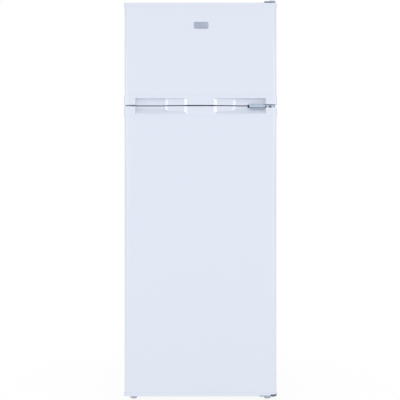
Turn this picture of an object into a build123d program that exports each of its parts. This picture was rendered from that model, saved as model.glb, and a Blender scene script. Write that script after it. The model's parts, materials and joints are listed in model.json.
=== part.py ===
from build123d import *
from math import hypot, radians, sin, tan
import os

# Two-door refrigerator with the freezer on top. Millimetres, +Z up, the doors face -Y and
# +X is to the right of someone who stands in front of it. The origin is on the floor,
# below the middle of the bounding box.

# Overall size
WIDTH = 545.0
DEPTH = 555.0
HEIGHT = 1430.0
FRONT = -DEPTH / 2
REAR = DEPTH / 2
SHEET = 0.8

# Cabinet body
CAB_HALF = 270.0
CAB_FRONT = -215.5
CAB_REAR = 240.0
CAB_LOW = 20.0
CAB_TOP = 1418.0
FLANGE_HALF = 236.0
TOP_FLANGE_Z = 1383.0
TOP_FIELD_RISE = 0.8
LINER = 2.0
FREEZER_HALF = 218.0
FREEZER_Z = (1084.0, 1368.0)
FRIDGE_HALF = 228.0
FRIDGE_Z = (72.0, 1023.0)
ROOM_REAR = 185.0
HUMP_Y = (10.0, 30.0)
HUMP_Z = 250.0
HUMP_LEAN = (HUMP_Y[1] - HUMP_Y[0]) / (HUMP_Z - FRIDGE_Z[0])
RAIL_Z = (1025.5, 1081.5)
BAY_FRONT = 60.0
BAY_TOP = 215.0

# Doors
DOOR_REAR = -227.5
CAP_HALF = WIDTH / 2
CAP_CORNER = 16.0
CAP_WALL = 3.5
SKIN_HALF = 270.0
SKIN_FRONT = FRONT + 1.0
SKIN_CORNER = 14.0
RETURN_HALF = 262.0
LINER_FACE = -228.3
LINER_HALF = 264.0
DOOR_LINER = 1.6
POCKET_FLOOR = -221.0
SCOOP_REAR = -257.0
FRIDGE_DOOR_Z = (22.0, 1050.5)
FRIDGE_SEAMS = (33.0, 1015.0)
FREEZER_DOOR_Z = (1054.0, 1416.5)
FREEZER_SEAMS = (1086.0, 1405.0)
GASKET_HALF = (238.5, 258.5)
GASKET_TIP = -215.9
NOTCH_X = 167.5
NOTCH_FLOOR = 1044.6
NOTCH_CEILING = 1056.5

# Hinges and pivots
PIVOT = (256.0, -259.5)
PIN_R = 4.0
BORE_R = 4.05
BOSS_R = 9.0
STOP_POST = (238.0, -259.5)

# Running gear
FOOT = (242.0, -195.0)
FOOT_SHANK_R = 5.0
FOOT_BORE_R = 5.08
ROLLER = (240.0, 200.0)
ROLLER_R = 18.0
ROLLER_HALF = 8.0
AXLE_R = 3.0
AXLE_BORE_R = 3.05

# Condenser on the back
TUBE_R = 2.4
WIRE_R = 0.75
TUBE_Y = REAR - 2 * WIRE_R - TUBE_R
COIL_HALF = 220.0
COIL_Z = (300.0, 1310.0)
COIL_ROWS = 21
COIL_BEND = 16.0
LONG_RUN = 60.0
CLIP_BORE_R = 2.5
RISER_X = -228.0
OUTLET_X = 228.0
WIRE_COUNT = 27
WIRE_HALF = 182.0

# Compressor, drain and tray
COMPRESSOR = (-70.0, 152.0)
CROSSBAR_Z = 26.0
BOLT_R = 3.0
BOLT_BORE_R = 3.05
COMPRESSOR_FEET = [(COMPRESSOR[0] + i * 88.0, COMPRESSOR[1] + j * 42.0) for i in (1, -1) for j in (1, -1)]
GLAND = (150.0, 39.0)
DRAIN = (-70.0, 152.0)
DRAIN_R = (6.0, 8.0)

# Evaporator channels
CHANNEL_R = 2.6
CHANNEL_BEND = 12.0

# Shelves and drawer
PANE_Z = (330.0, 560.0, 790.0)
PANE_Y = (-108.0, 150.0)
PANE_HALF = 226.0
PANE_T = 4.0
RACK_Z = 1225.0

# Control box under the ceiling of the fridge room
BOX_X = (-80.0, 190.0)
BOX_Y = (-160.0, 10.0)
BOX_Z = (978.0, 1023.0)
KNOB = (105.0, -85.0)
SWITCH = (172.0, 1000.0)

os.makedirs("parts", exist_ok=True)


def block(x, y, z):
    """Box between two values on each axis."""
    centre = Pos((x[0] + x[1]) / 2, (y[0] + y[1]) / 2, (z[0] + z[1]) / 2)
    return centre * Box(x[1] - x[0], y[1] - y[0], z[1] - z[0])


def both(half, y, z):
    """Box that is symmetric about the middle plane."""
    return block((-half, half), y, z)


def prism_x(points, x):
    """Side view outline in (y, z), carried along X."""
    face = make_face(Plane.YZ.offset(x[0]) * Polyline(*points, close=True))
    return extrude(face, amount=x[1] - x[0])


def prism_z(points, z):
    """Plan outline in (x, y), carried upwards."""
    face = make_face(Plane.XY.offset(z[0]) * Polyline(*points, close=True))
    return extrude(face, amount=z[1] - z[0])


def slab(x, y, z, radius):
    """Rounded rectangle as seen from the front, carried along Y."""
    origin = ((x[0] + x[1]) / 2, y[0], (z[0] + z[1]) / 2)
    outline = RectangleRounded(x[1] - x[0], z[1] - z[0], radius)
    return extrude(Plane(origin=origin, x_dir=(1, 0, 0), z_dir=(0, 1, 0)) * outline, amount=y[1] - y[0])


def rod(base, direction, radius, length):
    """Round bar that starts at base."""
    return extrude(Plane(origin=base, z_dir=direction) * Circle(radius), amount=length)


def upright(x, y, z, radius):
    """Vertical round bar between two heights."""
    return rod((x, y, z[0]), (0, 0, 1), radius, z[1] - z[0])


def bent_edges(points, bend):
    """Lines and arcs through the points with every corner rounded to the bend radius."""
    stops = [Vector(*point) for point in points]
    edges = []
    start = stops[0]
    for before, corner, after in zip(stops, stops[1:], stops[2:]):
        back = (before - corner).normalized()
        on = (after - corner).normalized()
        half_angle = radians(back.get_angle(on) / 2)
        inwards = (back + on).normalized()
        first = corner + back * (bend / tan(half_angle))
        last = corner + on * (bend / tan(half_angle))
        middle = corner + inwards * (bend / sin(half_angle) - bend)
        edges.append(Edge.make_line(start, first))
        edges.append(Edge.make_three_point_arc(first, middle, last))
        start = last
    edges.append(Edge.make_line(start, stops[-1]))
    return edges


def tube(edges, radius):
    """Round bar swept along edges that join end to end."""
    path = Wire(edges)
    return sweep(Plane(origin=path @ 0, z_dir=path % 0) * Circle(radius), path=path)


def pipe(points, bend, radius):
    """Round bar swept along a line with bent corners."""
    return tube(bent_edges(points, bend), radius)


def fuse(shapes):
    """One node from several pieces."""
    return Part() + list(shapes)


def bundle(shapes):
    """One node whose solids meet face to face and stay separate."""
    return Compound([solid for shape in shapes for solid in shape.solids()])


def pair(x, y, z):
    """The same box on both sides of the middle plane."""
    right = block(x, y, z)
    return [right, mirror_x(right)]


def mirror_x(shape):
    """Copy on the other side of the middle plane."""
    return mirror(shape, about=Plane.YZ)


def save(name, shape):
    """Writes one named sub-part."""
    export_step(shape, f"parts/{name}.step")


# Screws: (x, y, top of the plate, upwards or downwards) for the vertical ones
TOP_SCREWS = [(218.0, -165.0), (250.0, -165.0), (218.0, -195.0)]
FOOT_SCREWS = [(222.0, -200.0), (222.0, -183.0)]
FLANGE_SCREWS = [(190.0, 1058.0), (236.0, 1058.0), (213.0, 1049.0)]
SCREW_HEAD_R = 4.5
SCREW_R = 2.4
FLANGE_HEAD_R = 2.7
FLANGE_SHANK_R = 1.9


def screw_set(play):
    """Hinge screws on the right, made larger by the play for the holes they sit in."""
    shank = SCREW_R + play
    flange_shank = FLANGE_SHANK_R + play
    pieces = []
    for x, y in TOP_SCREWS:
        pieces.append(upright(x, y, (1406.0, 1421.5), shank))
        pieces.append(upright(x, y, (1421.0, 1424.0), SCREW_HEAD_R))
    for x, y in FOOT_SCREWS:
        for side in (1, -1):
            pieces.append(upright(side * x, y, (16.5, 34.0), shank))
            pieces.append(upright(side * x, y, (14.2, 17.0), SCREW_HEAD_R))
    for x, z in FLANGE_SCREWS:
        pieces.append(rod((x, CAB_FRONT - 3.5, z), (0, 1, 0), flange_shank, 18.0))
        pieces.append(rod((x, CAB_FRONT - 4.6, z), (0, 1, 0), FLANGE_HEAD_R, 1.6))
    return pieces


SCREWS = fuse(screw_set(0.0))
SCREW_HOLES = fuse(screw_set(0.1))
FOOT_HOLES = fuse([upright(s * FOOT[0], FOOT[1], (19.0, 58.0), 9.8) for s in (1, -1)])


# ---------------------------------------------------------------- cabinet
def room(half, outline, growth):
    """Food compartment volume with rounded edges, grown outwards by the growth."""
    body = prism_x(outline, (-half - growth, half + growth))
    edges = body.edges().filter_by(lambda e: e.center().Y > CAB_FRONT + 5)
    return fillet(edges, 10.0 + growth)


def freezer_room(growth):
    low, high = FREEZER_Z[0] - growth, FREEZER_Z[1] + growth
    rear = ROOM_REAR + growth
    return room(FREEZER_HALF, [(CAB_FRONT, low), (rear, low), (rear, high), (CAB_FRONT, high)], growth)


def hump_y(z, growth):
    """Where the sloping front of the hump is at a height, moved square to itself by the growth."""
    return HUMP_Y[0] + (z - FRIDGE_Z[0]) * HUMP_LEAN + growth * hypot(1, HUMP_LEAN)


def fridge_room(growth):
    low, high = FRIDGE_Z[0] - growth, FRIDGE_Z[1] + growth
    rear = ROOM_REAR + growth
    outline = [
        (CAB_FRONT, low),
        (hump_y(low, growth), low),
        (hump_y(HUMP_Z - growth, growth), HUMP_Z - growth),
        (rear, HUMP_Z - growth),
        (rear, high),
        (CAB_FRONT, high),
    ]
    return room(FRIDGE_HALF, outline, growth)


def top_field(inset, z):
    """Raised middle field of the cabinet top, clear of the hinge."""
    field = both(246.0 - inset, (-136.0 + inset, 224.0 - inset), z)
    return fillet(field.edges().filter_by(Axis.Z), 24.0 - inset)


def cabinet_shell():
    """Bent steel wrapper: two sides, embossed top, front flanges and bottom returns."""
    outer = both(CAB_HALF, (CAB_FRONT, CAB_REAR), (CAB_LOW, CAB_TOP))
    outer = fillet(outer.edges().filter_by(Axis.Y).group_by(Axis.Z)[-1], 6.0)
    outer += top_field(0.0, (CAB_TOP - SHEET, CAB_TOP + TOP_FIELD_RISE))
    inner = both(CAB_HALF - SHEET, (CAB_FRONT + SHEET, CAB_REAR + 1), (CAB_LOW - 1, CAB_TOP - SHEET))
    inner = fillet(inner.edges().filter_by(Axis.Y).group_by(Axis.Z)[-1], 6.0 - SHEET)
    inner += top_field(SHEET, (CAB_TOP - 2 * SHEET, CAB_TOP + TOP_FIELD_RISE - SHEET))
    mouth = both(FLANGE_HALF, (CAB_FRONT - 1, CAB_FRONT + 2), (CAB_LOW - 1, TOP_FLANGE_Z))
    sheet = outer - inner - mouth
    returned = block((258.0, CAB_HALF - 0.4), (CAB_FRONT + 0.4, CAB_REAR), (CAB_LOW, CAB_LOW + SHEET))
    return sheet + returned + mirror_x(returned) - SCREW_HOLES


def shell_panels(shell):
    """The wrapper as its two sides and its top, which meet at the inner edges of the flanges."""
    top = both(FLANGE_HALF, (-300.0, 300.0), (0.0, HEIGHT))
    side = block((FLANGE_HALF, 300.0), (-300.0, 300.0), (0.0, HEIGHT))
    return bundle([shell & top, shell & side, shell & mirror_x(side)])


def base_pan():
    """Stepped steel floor: front flange, floor, wall and ceiling of the compressor bay."""
    pan = both(FLANGE_HALF, (CAB_FRONT, CAB_FRONT + 1.0), (CAB_LOW, 66.0))
    pan += both(258.0, (CAB_FRONT + SHEET, BAY_FRONT + 1.0), (CAB_LOW, CAB_LOW + 1.0))
    pan += both(269.2, (BAY_FRONT, BAY_FRONT + 1.0), (CAB_LOW + SHEET, BAY_TOP))
    pan += both(269.2, (BAY_FRONT, CAB_REAR), (BAY_TOP, BAY_TOP + 1.0))
    drain_hole = upright(DRAIN[0], DRAIN[1], (BAY_TOP - 2, BAY_TOP + 3), DRAIN_R[1])
    return pan - FOOT_HOLES - SCREW_HOLES - drain_hole


def back_panel():
    """Flat rear sheet above the compressor bay, with four shallow pressed ribs."""
    panel = both(269.2, (CAB_REAR - SHEET, CAB_REAR), (BAY_TOP + 1.0, CAB_TOP - SHEET))
    corners = panel.edges().filter_by(Axis.Y).group_by(Axis.Z)[-1]
    panel = fillet(corners, 5.2)
    for x in (-240.0, 240.0):
        panel += slab((x - 7, x + 7), (CAB_REAR - 0.2, CAB_REAR + 1.6), (260.0, 1370.0), 6.9)
    return panel


def freezer_liner():
    """Moulded inner box of the freezer with its front flange and shelf ledges."""
    tub = freezer_room(LINER)
    tub += both(FLANGE_HALF, (CAB_FRONT, CAB_FRONT + LINER), (RAIL_Z[1], TOP_FLANGE_Z))
    tub -= freezer_room(0.0)
    ledge = block((210.0, FREEZER_HALF + 1), (-150.0, 170.0), (RACK_Z - 10.0, RACK_Z - 4.0))
    return tub + ledge + mirror_x(ledge)


def fridge_liner():
    """Moulded inner box of the fridge: hump over the compressor, ledges, drawer runners."""
    tub = fridge_room(LINER)
    tub += both(FLANGE_HALF, (CAB_FRONT, CAB_FRONT + LINER), (66.0, RAIL_Z[0]))
    tub -= fridge_room(0.0)
    wall = FRIDGE_HALF + 1
    for z in PANE_Z:
        ledge = block((216.0, wall), (-150.0, 160.0), (z - 6.0, z))
        tub += ledge + mirror_x(ledge)
    runner = block((189.0, wall), (-100.0, 160.0), (300.0, 306.0))
    tub += runner + mirror_x(runner)
    drain = upright(DRAIN[0], DRAIN[1], (HUMP_Z - 4, HUMP_Z + 2), DRAIN_R[1])
    return tub - drain


def mullion_rail():
    """Steel rail across the front between the two compartments."""
    rail = both(FLANGE_HALF, (CAB_FRONT, CAB_FRONT + SHEET), RAIL_Z)
    for z in (RAIL_Z[0] + 2.0, RAIL_Z[1] - 2.8):
        rail += both(FLANGE_HALF, (CAB_FRONT, CAB_FRONT + 15.0), (z, z + SHEET))
    return rail - SCREW_HOLES


def carved(blocks, neighbours):
    """Foam blocks cut back around everything set into them, the largest solid of each."""
    left = []
    for shape in blocks:
        for other in neighbours:
            shape = shape - other
        left.append(shape.solids().sort_by(SortBy.VOLUME)[-1])
    return bundle(left)


def cabinet_foam_blocks():
    """Insulation of the walls, as plain blocks that meet face to face."""
    half, front, rear = CAB_HALF - SHEET, CAB_FRONT + SHEET, CAB_REAR - SHEET
    high_wall, low_wall = FREEZER_HALF + LINER, FRIDGE_HALF + LINER
    back = ROOM_REAR + LINER
    freezer = (FREEZER_Z[0] - LINER, FREEZER_Z[1] + LINER)
    fridge = (FRIDGE_Z[0] - LINER, FRIDGE_Z[1] + LINER)
    step, hump = BAY_TOP + 1.0, HUMP_Z - LINER
    ceiling = both(half, (front, rear), (freezer[1], CAB_TOP - SHEET))
    blocks = [fillet(ceiling.edges().filter_by(Axis.Y).group_by(Axis.Z)[-1], 6.0 - SHEET)]
    blocks += pair((high_wall, half), (front, rear), freezer)
    blocks.append(both(high_wall, (back, rear), freezer))
    blocks.append(both(half, (front, rear), (fridge[1], freezer[0])))
    blocks += pair((low_wall, half), (front, rear), (step, fridge[1]))
    blocks.append(both(low_wall, (back, rear), (hump, fridge[1])))
    blocks += pair((low_wall, half), (front, BAY_FRONT), (CAB_LOW + 1.0, step))
    blocks.append(both(low_wall, (front, BAY_FRONT), (CAB_LOW + 1.0, fridge[0])))
    slope = [(hump_y(z, LINER), z) for z in (fridge[0], step, hump)]
    hump_front = [slope[0], (BAY_FRONT, fridge[0]), (BAY_FRONT, step), slope[1]]
    blocks.append(prism_x(hump_front, (-low_wall, low_wall)))
    drain_left, drain_right = DRAIN[0] - DRAIN_R[1], DRAIN[0] + DRAIN_R[1]
    for x in ((-low_wall, drain_left), (drain_right, low_wall)):
        blocks.append(prism_x([slope[1], (rear, step), (rear, hump), slope[2]], x))
    middle = (drain_left, drain_right)
    before = DRAIN[1] - DRAIN_R[1]
    blocks.append(prism_x([slope[1], (before, step), (before, hump), slope[2]], middle))
    blocks.append(block(middle, (DRAIN[1] + DRAIN_R[1], rear), (step, hump)))
    return blocks


# ---------------------------------------------------------------- doors
def door_prism(half, front, rear, corner, z):
    """Length of door: rectangle in plan with both front corners rounded."""
    body = both(half, (front, rear), z)
    return fillet(body.edges().filter_by(Axis.Z).group_by(Axis.Y)[0], corner)


def door_skin(seams):
    """Painted steel wrapper of a door, bent round the sides and returned at the rear."""
    outer = door_prism(SKIN_HALF, SKIN_FRONT, DOOR_REAR, SKIN_CORNER, seams)
    ends = (seams[0] - 1, seams[1] + 1)
    inner = door_prism(SKIN_HALF - SHEET, SKIN_FRONT + SHEET, DOOR_REAR - SHEET, SKIN_CORNER - SHEET, ends)
    opening = both(RETURN_HALF, (DOOR_REAR - 3, DOOR_REAR + 1), ends)
    return outer - inner - opening


def liner_pocket(door_z):
    """Room that the liner plate and the gasket take in the rear of the caps."""
    return both(LINER_HALF, (LINER_FACE - DOOR_LINER, DOOR_REAR + 1), (door_z[0] + 3.5, door_z[1] - 3.5))


def cap_blank(z, seam, closed_high):
    """Hollow end cap with a lip that plugs into the skin; returns the blank and its cavity."""
    outer = door_prism(CAP_HALF, FRONT, DOOR_REAR, CAP_CORNER, z)
    wall = CAP_WALL
    inside = (z[0] - 1, z[1] - 2.5) if closed_high else (z[0] + 2.5, z[1] + 1)
    cavity = door_prism(CAP_HALF - wall, FRONT + wall, DOOR_REAR - 2.4, CAP_CORNER - wall, inside)
    lip_z = (seam - 6.0, seam + 1.0) if closed_high else (seam - 1.0, seam + 6.0)
    lip = door_prism(SKIN_HALF - SHEET, SKIN_FRONT + SHEET, LINER_FACE - DOOR_LINER, 13.2, lip_z)
    hollow = (lip_z[0] - 1, lip_z[1] + 1)
    lip -= door_prism(SKIN_HALF - 3.4, SKIN_FRONT + 3.4, DOOR_REAR + 1, 10.6, hollow)
    return outer, cavity, lip


def recess_plan(growth, z):
    """Two-level finger scoops, left and right, as seen from above."""
    g = growth
    outline = [
        (47.0 - g, FRONT - 1),
        (47.0 - g, FRONT),
        (59.0 - g, FRONT + 8 + g),
        (115.0 - g, FRONT + 10 + g),
        (127.0 - g, FRONT + 18 + g),
        (226.0 + g, FRONT + 18 + g),
        (232.0 + g, FRONT),
        (232.0 + g, FRONT - 1),
    ]
    scoop = prism_z(outline, z)
    return scoop + mirror_x(scoop)


def freezer_scoop(growth):
    """Space under the freezer door for the fingers."""
    return recess_plan(growth, (1050.0, 1078.0 + growth))


def fridge_scoop(growth):
    """Space behind the top edge of the fridge door, with a sloping floor."""
    drop = 1.4 * growth
    side = [
        (FRONT - 1, 1022.0 - drop),
        (FRONT, 1022.0 - drop),
        (FRONT + 18, 1042.0 - drop),
        (-236.0, 1042.0 - drop),
        (-236.0, 1053.0),
        (FRONT - 1, 1053.0),
    ]
    return recess_plan(growth, (1016.0, 1053.0)) & prism_x(side, (-240.0, 240.0))


def hinge_notch(growth):
    """Space in the fridge door's top corner for the middle hinge."""
    return block((NOTCH_X - growth, 274.0), (FRONT - 1, DOOR_REAR + 1), (NOTCH_FLOOR - growth, 1053.0))


def hinge_headroom(growth):
    """Space in the freezer door's bottom corner for the arm of the middle hinge."""
    return block((NOTCH_X - growth, 274.0), (FRONT - 1, DOOR_REAR + 1), (1050.0, NOTCH_CEILING + growth))


def hinge_relief(growth):
    """Shallow space under the fridge door for the bottom hinge."""
    return block((204.0 - growth, 274.0), (FRONT - 1, DOOR_REAR + 1), (20.0, 24.5 + growth))


def bush_room(play):
    """Corner block of the lower pivot, with play all round for its pocket."""
    return block((248.5 - play, 280.0), (-290.0, -243.0 + play), (20.0, 28.2 + play))


def pivot_boss(z):
    return upright(PIVOT[0], PIVOT[1], z, BOSS_R)


def pivot_bore(z):
    return upright(PIVOT[0], PIVOT[1], z, BORE_R)


def freezer_bottom_cap():
    """Lower cap of the freezer door, scooped from below for the fingers."""
    outer, cavity, lip = cap_blank((FREEZER_DOOR_Z[0], FREEZER_SEAMS[0]), FREEZER_SEAMS[0], False)
    front_low = outer.edges().filter_by(Axis.X).group_by(Axis.Z)[0].sort_by(Axis.Y)[0]
    outer = fillet(front_low, 2.0)
    cavity -= freezer_scoop(2.5)
    cavity -= hinge_headroom(2.5)
    body = outer - cavity
    body += lip
    body += pivot_boss((NOTCH_CEILING, 1082.0))
    body -= freezer_scoop(0.0)
    body -= hinge_headroom(0.0)
    body -= pivot_bore((1050.0, 1079.0))
    return body - liner_pocket((NOTCH_CEILING, FREEZER_DOOR_Z[1]))


def freezer_top_cap():
    """Upper cap of the freezer door with the top hinge socket."""
    outer, cavity, lip = cap_blank((FREEZER_SEAMS[1], FREEZER_DOOR_Z[1]), FREEZER_SEAMS[1], True)
    rim = outer.edges().group_by(Axis.Z)[-1].sort_by(Axis.Y)[:-1]
    outer = fillet(rim, 1.5)
    body = outer - cavity
    body += lip
    body += pivot_boss((1392.0, 1416.0))
    body -= pivot_bore((1395.0, 1420.0))
    return body - liner_pocket((NOTCH_CEILING, FREEZER_DOOR_Z[1]))


def fridge_top_cap():
    """Upper cap of the fridge door: rounded edge, finger scoops and the hinge notch."""
    outer, cavity, lip = cap_blank((FRIDGE_SEAMS[1], FRIDGE_DOOR_Z[1]), FRIDGE_SEAMS[1], True)
    rim = outer.edges().group_by(Axis.Z)[-1].sort_by(Axis.Y)[:-1]
    outer = fillet(rim, 5.0)
    cavity -= fridge_scoop(2.5)
    cavity -= hinge_notch(2.5)
    body = outer - cavity
    body += lip
    body += pivot_boss((1028.0, NOTCH_FLOOR))
    body -= fridge_scoop(0.0)
    body -= hinge_notch(0.0)
    body -= pivot_bore((1031.0, 1053.0))
    return body - liner_pocket((FRIDGE_DOOR_Z[0], 1048.3))


def fridge_bottom_cap():
    """Lower cap of the fridge door with the pivot corner and the shallow hinge relief."""
    outer, cavity, lip = cap_blank((FRIDGE_DOOR_Z[0], FRIDGE_SEAMS[0]), FRIDGE_SEAMS[0], False)
    cavity -= hinge_relief(2.3)
    cavity -= bush_room(2.3)
    body = outer - cavity
    body += lip
    body += pivot_boss((28.3, 46.0))
    body -= hinge_relief(0.0)
    body -= bush_room(0.1)
    body -= pivot_bore((20.0, 44.0))
    return body - liner_pocket(FRIDGE_DOOR_Z)


def pivot_bush():
    """Dark nylon block in the lower pivot corner of the fridge door."""
    envelope = door_prism(CAP_HALF - 1.0, FRONT + 0.6, DOOR_REAR, CAP_CORNER - 1.0, (24.5, 28.2))
    return (envelope & bush_room(0.0)) - upright(PIVOT[0], PIVOT[1], (20.0, 30.0), BORE_R + 0.25)


def dike_blocks(half, z, rear, pocket_half, pocket_z):
    """Foam behind the raised face of a door liner: a middle panel and four bars round it."""
    t = DOOR_LINER
    side, inside = half - t, pocket_half + t
    outer_z, inner_z = (z[0] + t, z[1] - t), (pocket_z[0] - t, pocket_z[1] + t)
    panel_rear = POCKET_FLOOR - t
    blocks = [slab((-side, side), (LINER_FACE - t, panel_rear), outer_z, 16.0)]
    ring = slab((-side, side), (panel_rear, rear - t), outer_z, 16.0)
    bar = ring & block((inside, side), (panel_rear, rear - t), outer_z)
    blocks += [bar, mirror_x(bar)]
    for level in ((outer_z[0], inner_z[0]), (inner_z[1], outer_z[1])):
        blocks.append(both(inside, (panel_rear, rear - t), level))
    return blocks


def door_liner(plate_z, half, z, rear, pocket_half, pocket_z):
    """Moulded inner face of a door with its raised dike."""
    t = DOOR_LINER
    plate = both(LINER_HALF, (LINER_FACE - t, LINER_FACE), plate_z)
    ring = slab((-half, half), (LINER_FACE - t, rear), z, 18.0)
    ring = fillet(ring.edges().group_by(Axis.Y)[-1], 5.0)
    pocket = slab((-pocket_half, pocket_half), (POCKET_FLOOR, rear + 1), pocket_z, 10.0)
    hollow = slab((-half + t, half - t), (LINER_FACE - t - 1, rear - t), (z[0] + t, z[1] - t), 16.0)
    hollow = fillet(hollow.edges().group_by(Axis.Y)[-1], 3.6)
    shut_z = (pocket_z[0] - t, pocket_z[1] + t)
    shut = slab((-pocket_half - t, pocket_half + t), (POCKET_FLOOR - t, rear + 1), shut_z, 12.0)
    return plate + ring - pocket - (hollow - shut)


def door_block(z):
    """Length of the insulation between the skin and the liner of a door."""
    return door_prism(SKIN_HALF - SHEET, SKIN_FRONT + SHEET, LINER_FACE - DOOR_LINER, 13.2, z)


def freezer_foam_blocks():
    """Insulation of the freezer door, none of it in the caps beside the finger scoops."""
    behind_scoops = both(266.0, (SCOOP_REAR, LINER_FACE - DOOR_LINER), (1059.0, 1080.6))
    bands = [(1080.6, 1092.0), (1092.0, 1398.0), (1398.0, 1414.0)]
    return [behind_scoops] + [door_block(z) for z in bands]


def fridge_foam_blocks():
    """Insulation of the fridge door, none of it in the cap beside the finger scoops."""
    rear = (SCOOP_REAR, LINER_FACE - DOOR_LINER)
    blocks = [door_block(z) for z in ((28.0, 39.0), (39.0, 1009.0), (1009.0, 1018.0))]
    blocks.append(block((-266.0, NOTCH_X - 3.0), rear, (1018.0, 1048.0)))
    blocks.append(block((NOTCH_X - 3.0, 246.0), rear, (1018.0, NOTCH_FLOOR - 3.0)))
    return blocks


def gasket(legs_low, legs_high):
    """Magnetic seal: foot, narrower bellows and the strip that meets the cabinet."""
    inner, outer = GASKET_HALF
    layers = [(0.0, LINER_FACE, -225.3), (4.0, -225.3, -219.5), (1.0, -219.5, GASKET_TIP)]
    pieces = []
    for inset, y0, y1 in layers:
        ring = slab((-outer + inset, outer - inset), (y0, y1), (legs_low[0] + inset, legs_high[1] - inset), 4.0)
        hole_z = (legs_low[1] - inset, legs_high[0] + inset)
        ring -= slab((-inner - inset, inner + inset), (y0 - 1, y1 + 1), hole_z, 3.0)
        pieces.append(ring)
    return fuse(pieces)


def door_bin(half, y, z, wall):
    """Open-topped door balcony with rounded corners facing the room."""
    bin_body = both(half, y, z)
    bin_body = fillet(bin_body.edges().filter_by(Axis.Z).group_by(Axis.Y)[-1], 5.0)
    space = both(half - wall, (y[0] + wall, y[1] - wall), (z[0] + wall, z[1] + 1))
    space = fillet(space.edges().filter_by(Axis.Z).group_by(Axis.Y)[-1], 5.0 - wall)
    return bin_body - space


def freezer_door_racks():
    racks = []
    for low in (1128.0, 1262.0):
        racks.append(door_bin(193.5, (-220.8, -152.0), (low, low + 58.0), 2.2))
    return fuse(racks)


def door_balconies():
    racks = []
    for low in (560.0, 780.0):
        racks.append(door_bin(199.5, (-220.8, -132.0), (low, low + 70.0), 2.2))
    return fuse(racks)


def bottle_balcony():
    """Deep lower balcony with a bottle rail above its front wall."""
    body = door_bin(199.5, (-220.8, -122.0), (120.0, 205.0), 2.4)
    rail = both(199.5, (-220.8, -122.0), (232.0, 246.0))
    rail = fillet(rail.edges().filter_by(Axis.Z).group_by(Axis.Y)[-1], 5.0)
    rail -= both(196.5, (-222.0, -126.0), (231.0, 247.0))
    posts = [block((x - 5, x + 5), (-124.6, -122.2), (200.0, 240.0)) for x in (-170.0, 0.0, 170.0)]
    return body + rail + fuse(posts)


def door_badge():
    """Plain blank plate on the freezer door."""
    return slab((-24.0, 28.0), (FRONT, SKIN_FRONT), (1324.0, 1348.0), 6.0)


# ---------------------------------------------------------------- hinges, feet, rollers
def bottom_plate(front):
    """Steel plate under a front corner, with the nut for the levelling foot."""
    plate = block((213.0, 262.0), (front, -175.0), (17.0, CAB_LOW))
    plate = fillet(plate.edges().filter_by(Axis.Z).group_by(Axis.Y)[-1], 4.0)
    nut = Pos(FOOT[0], FOOT[1], CAB_LOW) * extrude(RegularPolygon(9.4, 6), amount=7.0)
    return plate + nut - upright(FOOT[0], FOOT[1], (10.0, 30.0), FOOT_BORE_R)


def bottom_hinge():
    tongue = block((208.0, 269.0), (-273.0, -218.0), (CAB_LOW, 23.0))
    tongue = fillet(tongue.edges().filter_by(Axis.Z).group_by(Axis.Y)[0], 8.0)
    joggle = block((213.0, 262.0), (POCKET_FLOOR, CAB_FRONT - 0.5), (17.0, 23.0))
    pin = upright(PIVOT[0], PIVOT[1], (CAB_LOW, 41.0), PIN_R)
    washer = upright(PIVOT[0], PIVOT[1], (22.5, 24.2), 7.5)
    head = upright(PIVOT[0], PIVOT[1], (16.5, 20.5), 6.5)
    return bottom_plate(POCKET_FLOOR) + joggle + tongue + pin + washer + head - SCREW_HOLES


def left_foot_bracket():
    return mirror_x(bottom_plate(CAB_FRONT)) - SCREW_HOLES


def top_hinge():
    """Stepped steel plate on the cabinet top with the pin for the freezer door."""
    base = block((205.0, 262.0), (-211.5, -150.0), (CAB_TOP, CAB_TOP + 3.0))
    base = fillet(base.edges().filter_by(Axis.Z).group_by(Axis.Y)[-1], 6.0)
    outline = [(226, -200), (262, -200), (267, -222), (266, -268), (260, -273), (232, -273), (226, -262)]
    tongue = prism_z(outline, (1420.0, 1423.0))
    pin = upright(PIVOT[0], PIVOT[1], (1398.0, 1421.0), PIN_R)
    pin += upright(PIVOT[0], PIVOT[1], (1422.5, 1424.5), 4.8)
    return base + tongue + pin - SCREW_HOLES


def top_hinge_cover():
    """Thin moulded hood over the top hinge, with a nose that reaches over the pin."""
    plan = [(199, -145), (268, -145), (269, -205), (265, -270), (250, -270), (240, -214), (199, -214)]
    core = [(201, -147), (266, -147), (267, -205), (263, -268), (252, -268), (242, -212), (201, -212)]
    hood = prism_z(plan, (CAB_TOP, HEIGHT))
    hood = fillet(hood.edges().group_by(Axis.Z)[-1], 2.0)
    hood -= prism_z(core, (CAB_TOP - 1, HEIGHT - 1.8))
    hood -= block((190.0, 280.0), (-280.0, -214.2), (CAB_TOP - 1, 1423.2))
    return hood - block((224.0, 269.5), (-215.0, -205.0), (CAB_TOP - 1, 1423.2))


def middle_hinge():
    """Bracket between the doors: cabinet flange, arm, front lip and a pin both ways."""
    flange = block((176.0, 250.0), (CAB_FRONT - 3.0, CAB_FRONT), (1046.0, 1061.0))
    outline = [(173, -240), (190, -217), (250, -217), (267, -240), (267, -262), (260, -267), (232, -267),
               (228, -271), (173, -271)]
    arm = prism_z(outline, (1052.0, 1055.0))
    lip = block((173.0, 229.0), (-272.5, -270.0), (1045.6, 1055.0))
    lip = fillet(lip.edges().filter_by(Axis.Y).group_by(Axis.Z)[0], 3.0)
    lip += upright(STOP_POST[0], STOP_POST[1], (1045.8, 1052.5), 6.5)
    pin = upright(PIVOT[0], PIVOT[1], (1034.0, 1076.0), PIN_R)
    collar = upright(PIVOT[0], PIVOT[1], (1045.4, 1056.1), 7.0)
    return flange + arm + lip + pin + collar - SCREW_HOLES


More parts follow.
